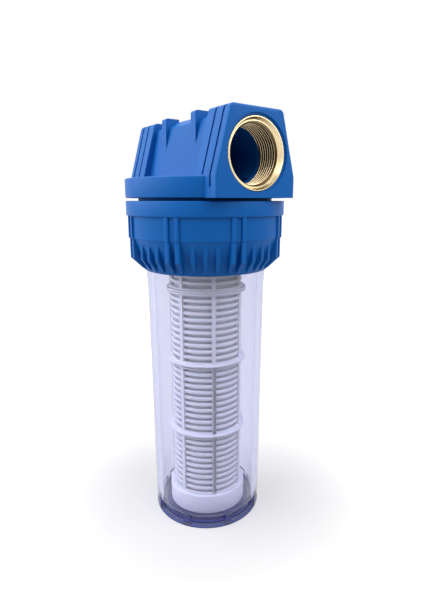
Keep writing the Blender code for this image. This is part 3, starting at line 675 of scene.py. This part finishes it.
def insertShape():
    # A short cone leads from the flat land to a shoulder before the thread
    face = insertFace
    bodyFace = face - insert["mouthDepth"]
    edge = insert["rimEdge"]
    mouth = insertRadius - insert["land"]
    shoulder = pipeThread["major"] + insert["shoulder"]
    outline = [(shoulder, bodyFace), (mouth - edge, face - 2 * edge), (mouth, face),
               (insertRadius - edge, face), (insertRadius, face - edge), (insertRadius, insertBack),
               (shoulder, insertBack)]
    body = bmesh.new()
    points = [body.verts.new((radius, 0, height)) for radius, height in outline]
    for first, second in zip(points, points[1:]):
        body.edges.new((first, second))
    bmesh.ops.spin(body, geom=points + list(body.edges), cent=(0, 0, 0), axis=(0, 0, 1),
                   angle=fullTurn, steps=insert["steps"], use_merge=True)
    shape = gathered([body, threadShape(insertBack, bodyFace)])
    bmesh.ops.remove_doubles(shape, verts=shape.verts, dist=1e-6)
    for height in (insertBack, bodyFace):
        rim = [edge for edge in shape.edges if edge.is_boundary
               and all(abs(end.co.z - height) < 1e-6 for end in edge.verts)]
        if rim:
            bmesh.ops.bridge_loops(shape, edges=rim)
    bmesh.ops.recalc_face_normals(shape, faces=shape.faces)
    return layAlongX(shape, portAxis)


def makeInserts():
    for name, node, side in (("inletBrass", "inlet_thread_insert", 1),
                             ("outletBrass", "outlet_thread_insert", -1)):
        shape = insertShape()
        if side < 0:
            turnShape(shape, math.pi)
        item = newObject(name, shape)
        shadeRound(item, 40)
        finishPiece(item, brass, "head", "brass", node)


makeInserts()


# Ring nut

nut = {"bandRadius": nutHigh.x, "bandHeight": 10.6 * mm, "panelRadius": 59 * mm,
       "panelHeight": 16.2 * mm,
       "coneTop": 58.5 * mm, "coneLow": 50 * mm, "rim": 48.4 * mm, "rimHeight": 1.8 * mm,
       "bore": 52.3 * mm, "lip": 47.3 * mm, "lipHeight": 17 * mm, "steps": 144}
ribs = {"radius": 60.4 * mm, "lowRadius": 59.5 * mm, "width": 3.2 * mm,
        "halfAngle": math.radians(3.7), "footRadius": 50.6 * mm, "straight": 10.4 * mm,
        "footShare": 0.6, "edge": 0.3 * mm}
fins = {"radius": 57.3 * mm, "width": 3.0 * mm, "angle": math.radians(8.7)}


def taperedRib(outline, width, angle, footHeight):
    # A rib with rounded edges that is narrower where it runs out at the rim
    shape = prismShape(outline, -width / 2, width / 2, 2)
    sides = [edge for edge in shape.edges if abs(edge.verts[0].co.x - edge.verts[1].co.x) < 1e-6]
    bmesh.ops.bevel(shape, geom=sides, offset=ribs["edge"], affect="EDGES", segments=2, profile=0.5,
                    material=-1)
    ends = [corner for corner in shape.verts if corner.co.z < footHeight + ribs["edge"] + 1e-6]
    bmesh.ops.scale(shape, vec=(ribs["footShare"], 1, 1), verts=ends)
    return turnShape(shape, angle - math.pi / 2)


def makeNut():
    bottom = nutLow.z
    top = nutHigh.z
    rimTop = bottom + nut["rimHeight"]
    bandBottom = top - nut["bandHeight"]
    step = bandBottom - nut["panelHeight"]
    lipTop = bottom + nut["lipHeight"]
    ledge = 0.5 * mm
    outline = [(nut["lip"], bottom, 0.4 * mm), (nut["rim"], bottom, 0.4 * mm),
               (nut["coneLow"], rimTop, 0.4 * mm), (nut["coneTop"], step - ledge, 0.15 * mm),
               (nut["panelRadius"], step, 0.4 * mm), (nut["panelRadius"], bandBottom - ledge, 0.2 * mm),
               (nut["bandRadius"], bandBottom, 0.6 * mm), (nut["bandRadius"], top, 0.7 * mm),
               (nut["bore"], top, 0.7 * mm), (nut["bore"], lipTop, 0), (nut["lip"], lipTop, 0.4 * mm)]
    item = newObject("ringNutMoulding", turnedShape(outline, nut["steps"]))
    elbow = bottom + ribs["straight"]
    root = nut["bore"] + lap
    rib = [(nut["rim"], rimTop, 0), (ribs["footRadius"], rimTop, 0), (ribs["lowRadius"], elbow, 0),
           (ribs["lowRadius"], step - ledge, 0), (ribs["radius"], step, 0),
           (ribs["radius"], bandBottom + lap, 0), (root, bandBottom + lap, 0), (root, lipTop, 0)]
    fin = [(nut["rim"], rimTop, 0), (ribs["footRadius"], rimTop, 0), (fins["radius"], elbow, 0),
           (fins["radius"], step - lap, 0), (root, step - lap, 0), (root, lipTop, 0)]
    halfStep = math.pi / patternCount
    shapes = []
    for index in range(patternCount):
        angle = patternAngle + index * fullTurn / patternCount
        for offset in (-ribs["halfAngle"], ribs["halfAngle"]):
            shapes.append(taperedRib(rib, ribs["width"], angle + halfStep + offset, rimTop))
        for offset in (-fins["angle"], 0, fins["angle"]):
            shapes.append(taperedRib(fin, fins["width"], angle + offset, rimTop))
    combine(item, gathered(shapes), "UNION")
    shadeRound(item)
    return finishPiece(item, blue, "nut", "blue_plastic", "ring_nut")


makeNut()


# Clear bowl

bowl = {"topRadius": 47 * mm, "midRadius": 46.4 * mm, "lowRadius": 44.6 * mm, "wall": 5 * mm,
        "midDrop": 34 * mm, "thinLength": 11 * mm, "floor": 5.2 * mm,
        "corner": 5 * mm, "collar": 52 * mm, "collarHeight": 5 * mm, "steps": 128}
foot = {"radius": 41.5 * mm, "topRadius": 42 * mm, "height": 10.5 * mm, "step": 1 * mm,
        "base": 44.2 * mm, "baseHeight": 1.4 * mm, "bore": 36 * mm, "recess": 1.8 * mm}
lugs = {"width": 5.5 * mm, "height": 12 * mm}
nipple = {"radius": 12.5 * mm, "height": 8 * mm}
sealGroove = {"depth": 3.4 * mm, "halfWidth": 2.3 * mm}


def makeBowl():
    collarTop = bowlHigh.z
    collarBottom = collarTop - bowl["collarHeight"]
    lipTop = nutLow.z + nut["lipHeight"]
    thinTop = lipTop - bowl["midDrop"]
    bore = bowl["topRadius"] - bowl["wall"]
    lowBore = bowl["lowRadius"] - bowl["wall"]
    grooveFloor = collarTop - sealGroove["depth"]
    sealMiddle = (bore + bowl["collar"]) / 2
    outer = sealMiddle + sealGroove["halfWidth"]
    inner = sealMiddle - sealGroove["halfWidth"]
    nippleTop = bowl["floor"] + nipple["height"]
    outline = [(0, foot["recess"], 0), (foot["bore"], foot["recess"], 0.8 * mm),
               (foot["bore"], 0, 0.6 * mm), (foot["base"], 0, 0.5 * mm),
               (foot["base"], foot["baseHeight"], 0.5 * mm),
               (foot["radius"], foot["baseHeight"] + foot["step"], 0.5 * mm),
               (foot["topRadius"], foot["height"], 0.5 * mm),
               (bowl["lowRadius"], foot["height"] + foot["step"], 0.5 * mm),
               (bowl["midRadius"], thinTop, 4 * mm),
               (bowl["topRadius"], thinTop + bowl["thinLength"], 4 * mm),
               (bowl["topRadius"], collarBottom, 0.6 * mm), (bowl["collar"], collarBottom, 0.4 * mm),
               (bowl["collar"], collarTop, 0.4 * mm), (outer, collarTop, 0.2 * mm),
               (outer, grooveFloor, 0.3 * mm), (inner, grooveFloor, 0.3 * mm),
               (inner, collarTop, 0.2 * mm), (bore, collarTop, 0.4 * mm), (bore, lipTop, 3 * mm),
               (lowBore, bowl["floor"], bowl["corner"]), (nipple["radius"], bowl["floor"], 1 * mm),
               (nipple["radius"], nippleTop, 1 * mm), (0, nippleTop, 0)]
    item = newObject("bowlMoulding", turnedShape(outline, bowl["steps"], 5))
    lug = [(lowBore, lap, 0), (bowl["lowRadius"], lap, 0.6 * mm),
           (bowl["lowRadius"], lugs["height"], 0), (lowBore + lap, lugs["height"], 0)]
    halfStep = math.pi / patternCount
    shapes = [radialRib(lug, lugs["width"], patternAngle + halfStep + index * fullTurn / patternCount)
              for index in range(patternCount)]
    combine(item, gathered(shapes), "UNION")
    shadeRound(item)
    # Long walls keep their own direction beside the small roundings, so the view through them is true
    even = item.modifiers.new("even shading", "WEIGHTED_NORMAL")
    even.keep_sharp = True
    return finishPiece(item, clear, "bowl", "clear_plastic", "bowl")


makeBowl()


def makeSeal():
    radius = (sealHigh.z - sealLow.z) / 2
    shape = bmesh.new()
    bmesh.ops.create_circle(shape, segments=24, radius=radius)
    centre = sealHigh.x - radius
    place = Matrix.Translation((centre, 0, sealLow.z + radius)) @ Matrix.Rotation(math.pi / 2, 4, "X")
    bmesh.ops.transform(shape, matrix=place, verts=shape.verts)
    bmesh.ops.spin(shape, geom=list(shape.verts) + list(shape.edges), cent=(0, 0, 0), axis=(0, 0, 1),
                   angle=fullTurn, steps=128, use_merge=True)
    item = newObject("bowlSealRing", closeUp(shape))
    shadeRound(item, 180)
    return finishPiece(item, rubber, "bowl", "rubber_seal", "bowl_seal")


makeSeal()


# Cage cartridge

cage = {"radius": 29.5 * mm, "slatRadius": 28.7 * mm, "inner": 26.6 * mm, "posts": 7,
        "postWidth": 2.8 * mm, "postAngle": math.radians(-22.6), "slot": 2.4 * mm,
        "ringRadius": lowerEndHigh.x, "ringHeight": 1.5 * mm, "end": 2.9 * mm,
        "firstEnd": 0.9 * mm, "slots": (10, 11, 11, 11), "steps": 96}


def bandLevels(low, high, slots, lowEnd):
    # Bottom, top and radius of each ring: a solid band at both ends and a slat between slots
    slot = cage["slot"]
    pitch = (high - low - lowEnd - cage["end"] - slot) / (slots - 1)
    levels = [(low, low + lowEnd, cage["radius"])]
    for number in range(slots - 1):
        start = low + lowEnd + number * pitch + slot
        levels.append((start, start + pitch - slot, cage["slatRadius"]))
    levels.append((high - cage["end"], high, cage["radius"]))
    return levels


def ringShape(inner, outer, bottom, top, edge):
    outline = [(inner, bottom, 0.3 * mm), (outer, bottom, edge), (outer, top, edge),
               (inner, top, 0.3 * mm)]
    return turnedShape(outline, cage["steps"], 2)


def makeCageSection(index):
    node = "cage_section_" + str(index)
    low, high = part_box(node)
    first = index == 1
    last = index == len(cage["slots"])
    levels = bandLevels(low.z, high.z, cage["slots"][index - 1], cage["firstEnd"] if first else cage["end"])
    rings = [ringShape(cage["inner"], radius, bottom, top, 0.35 * mm if first and bottom == low.z
                       else 0.6 * mm) for bottom, top, radius in levels]
    item = newObject("cageSection" + str(index), gathered(rings))
    inside = cage["inner"] + 0.1 * mm
    post = [(inside, low.z + 0.2 * mm, 0), (cage["radius"], low.z + 0.2 * mm, 0),
            (cage["radius"], high.z - 0.2 * mm, 0), (inside, high.z - 0.2 * mm, 0)]
    step = fullTurn / cage["posts"]
    extras = [radialRib(post, cage["postWidth"], cage["postAngle"] + number * step)
              for number in range(cage["posts"])]
    combine(item, gathered(extras), "UNION")
    middle = cage["inner"] + 1.13 * mm
    if not first:
        combine(item, ringShape(middle, cage["ringRadius"], low.z + 0.02 * mm,
                                low.z + cage["ringHeight"], 0.4 * mm), "UNION")
    if not last:
        combine(item, ringShape(middle, cage["ringRadius"], high.z - cage["ringHeight"],
                                high.z - 0.02 * mm, 0.4 * mm), "UNION")
    shadeRound(item)
    return finishPiece(item, white, "bowl", "white_plastic", node)


for number in range(1, len(cage["slots"]) + 1):
    makeCageSection(number)


def makeCageEnd(name, node, face, inward, length):
    # Solid end with its gasket seat, bore and the collar that the tubes stand on
    seatRadius = 20.1 * mm
    seatDepth = 3.3 * mm
    bore = 12.8 * mm
    inner = face + inward * length
    low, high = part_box(node)
    collarEnd = low.z if inward < 0 else high.z
    coreLow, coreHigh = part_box("core_tube")
    collar = coreHigh.x - 2.3 * mm
    outline = [(bore, face + inward * seatDepth, 0.3 * mm), (seatRadius, face + inward * seatDepth, 0.3 * mm),
               (seatRadius, face, 0.4 * mm), (cage["ringRadius"], face, 1.2 * mm),
               (cage["ringRadius"], inner, 0.8 * mm), (collar, inner, 0), (collar, collarEnd, 0.4 * mm),
               (collar - 2 * mm, collarEnd, 0.4 * mm), (collar - 2 * mm, inner, 0),
               (bore, inner, 0.3 * mm)]
    item = newObject(name, turnedShape(outline, cage["steps"]))
    shadeRound(item)
    return finishPiece(item, white, "bowl", "white_plastic", node)


makeCageEnd("cageEndLower", "cage_end_lower", lowerEndLow.z, 1, 16.2 * mm)
makeCageEnd("cageEndUpper", "cage_end_upper", upperEndHigh.z, -1, 5.3 * mm)


def makeSleeve():
    outline = [(sleeveHigh.x - 0.8 * mm, sleeveLow.z, 0), (sleeveHigh.x, sleeveLow.z, 0),
               (sleeveHigh.x, sleeveHigh.z, 0), (sleeveHigh.x - 0.8 * mm, sleeveHigh.z, 0)]
    item = newObject("screenSleeve", turnedShape(outline, 96))
    shadeRound(item)
    return finishPiece(item, screen, "bowl", "woven_screen", "filter_mesh")


makeSleeve()

for node, finish in (("core_tube", white), ("lower_gasket", rubber), ("upper_gasket", rubber)):
    nodes[node].data.materials.clear()
    nodes[node].data.materials.append(finish)


# Floor, background, lamps and camera

stageLook = {"floorShade": 0.34, "nearGlow": 0.41, "nearReach": (0.05, 0.27),
             "throughGlow": 0.56, "throughReach": (0.12, 3.0),
             "underGlow": 0.45, "underReach": (0.040, 0.056), "worldLight": 0.30}
cameraPlace = {"angle": -36, "distance": 0.358, "aside": 0.01345, "height": 0.259, "pitch": 12.15,
               "lens": 27.2}


def whiteRays(tree):
    # 1 where the camera sees something straight, mirrored or through glass, and 0 for scattered light
    path = addNode(tree, "ShaderNodeLightPath")
    seen = math2(tree, "MAXIMUM", path.outputs["Is Camera Ray"], path.outputs["Is Transmission Ray"])
    seen = math2(tree, "MAXIMUM", seen, path.outputs["Is Glossy Ray"])
    return math2(tree, "MULTIPLY", seen, math2(tree, "LESS_THAN", path.outputs["Diffuse Depth"], 0.5)), path


def makeFloor():
    # Pale floor that reads white, keeps a soft shadow and is dim under the bowl's clear foot
    shape = bmesh.new()
    bmesh.ops.create_grid(shape, x_segments=1, y_segments=1, size=30)
    floor = newObject("floor", shape)
    finish = bpy.data.materials.new("pale floor")
    finish.use_nodes = True
    tree = finish.node_tree
    tree.nodes.clear()
    output = addNode(tree, "ShaderNodeOutputMaterial")
    surface = addNode(tree, "ShaderNodeBsdfDiffuse")
    surface.inputs["Color"].default_value = (stageLook["floorShade"],) * 3 + (1,)
    place = addNode(tree, "ShaderNodeTexCoord").outputs["Object"]
    distance = addNode(tree, "ShaderNodeVectorMath", operation="LENGTH")
    link(tree, place, distance.inputs[0])
    near = fadeBetween(tree, distance.outputs["Value"], stageLook["nearReach"])
    near.inputs["To Min"].default_value = stageLook["nearGlow"]
    through = fadeBetween(tree, distance.outputs["Value"], stageLook["throughReach"])
    through.inputs["To Min"].default_value = stageLook["throughGlow"]
    under = fadeBetween(tree, distance.outputs["Value"], stageLook["underReach"])
    under.inputs["To Min"].default_value = stageLook["underGlow"]
    shown, path = whiteRays(tree)
    direct = path.outputs["Is Camera Ray"]
    seenDirect = math2(tree, "MULTIPLY", direct, near.outputs["Result"])
    seenThrough = math2(tree, "MULTIPLY", math2(tree, "SUBTRACT", 1, direct),
                        math2(tree, "MULTIPLY", through.outputs["Result"], under.outputs["Result"]))
    strength = math2(tree, "MULTIPLY", shown, math2(tree, "ADD", seenDirect, seenThrough))
    glow = addNode(tree, "ShaderNodeEmission")
    link(tree, strength, glow.inputs["Strength"])
    both = addNode(tree, "ShaderNodeAddShader")
    link(tree, surface.outputs[0], both.inputs[0])
    link(tree, glow.outputs[0], both.inputs[1])
    link(tree, both.outputs[0], output.inputs["Surface"])
    floor.data.materials.append(finish)


def makeWorld():
    # White to the camera, in reflections and through glass, and dimmer as light on the object
    world = bpy.data.worlds.new("studio")
    bpy.context.scene.world = world
    world.use_nodes = True
    tree = world.node_tree
    background = tree.nodes["Background"]
    background.inputs["Color"].default_value = (1, 1, 1, 1)
    shown, path = whiteRays(tree)
    link(tree, math2(tree, "MAXIMUM", shown, stageLook["worldLight"]), background.inputs["Strength"])


def makeLamp(name, place, aim, width, height, power):
    data = bpy.data.lights.new(name, "AREA")
    data.shape = "RECTANGLE"
    data.size = width
    data.size_y = height
    data.energy = power
    lamp = bpy.data.objects.new(name, data)
    bpy.context.scene.collection.objects.link(lamp)
    lamp.location = place
    lamp.rotation_euler = (Vector(aim) - Vector(place)).to_track_quat("-Z", "Y").to_euler()


def makeCamera():
    angle = math.radians(cameraPlace["angle"])
    towards = Vector((math.cos(angle), math.sin(angle), 0))
    right = Vector((-math.sin(angle), math.cos(angle), 0))
    data = bpy.data.cameras.new("camera")
    data.lens = cameraPlace["lens"]
    camera = bpy.data.objects.new("camera", data)
    bpy.context.scene.collection.objects.link(camera)
    camera.location = (towards * cameraPlace["distance"] + right * cameraPlace["aside"]
                       + Vector((0, 0, cameraPlace["height"])))
    pitch = math.radians(cameraPlace["pitch"])
    look = -towards * math.cos(pitch) - Vector((0, 0, math.sin(pitch)))
    camera.rotation_euler = look.to_track_quat("-Z", "Y").to_euler()
    bpy.context.scene.camera = camera
    return towards, right


def around(angle, distance, height):
    # A place round the housing, by its angle from the camera's side (right is positive)
    turn = math.radians(angle)
    return (towards * math.cos(turn) + right * math.sin(turn)) * distance + Vector((0, 0, height))


makeFloor()
makeWorld()
towards, right = makeCamera()
centre = Vector((0, 0, 0.18))
makeLamp("leftBox", around(-80, 1.10, 0.90), centre, 1.7, 1.6, 27)
makeLamp("rightBox", around(60, 1.05, 1.10), centre, 1.6, 1.4, 19)
makeLamp("topBox", around(180, 0.25, 1.2), centre, 1.2, 1.0, 5)
bpy.context.scene.view_settings.view_transform = "Standard"
print("stage ready")
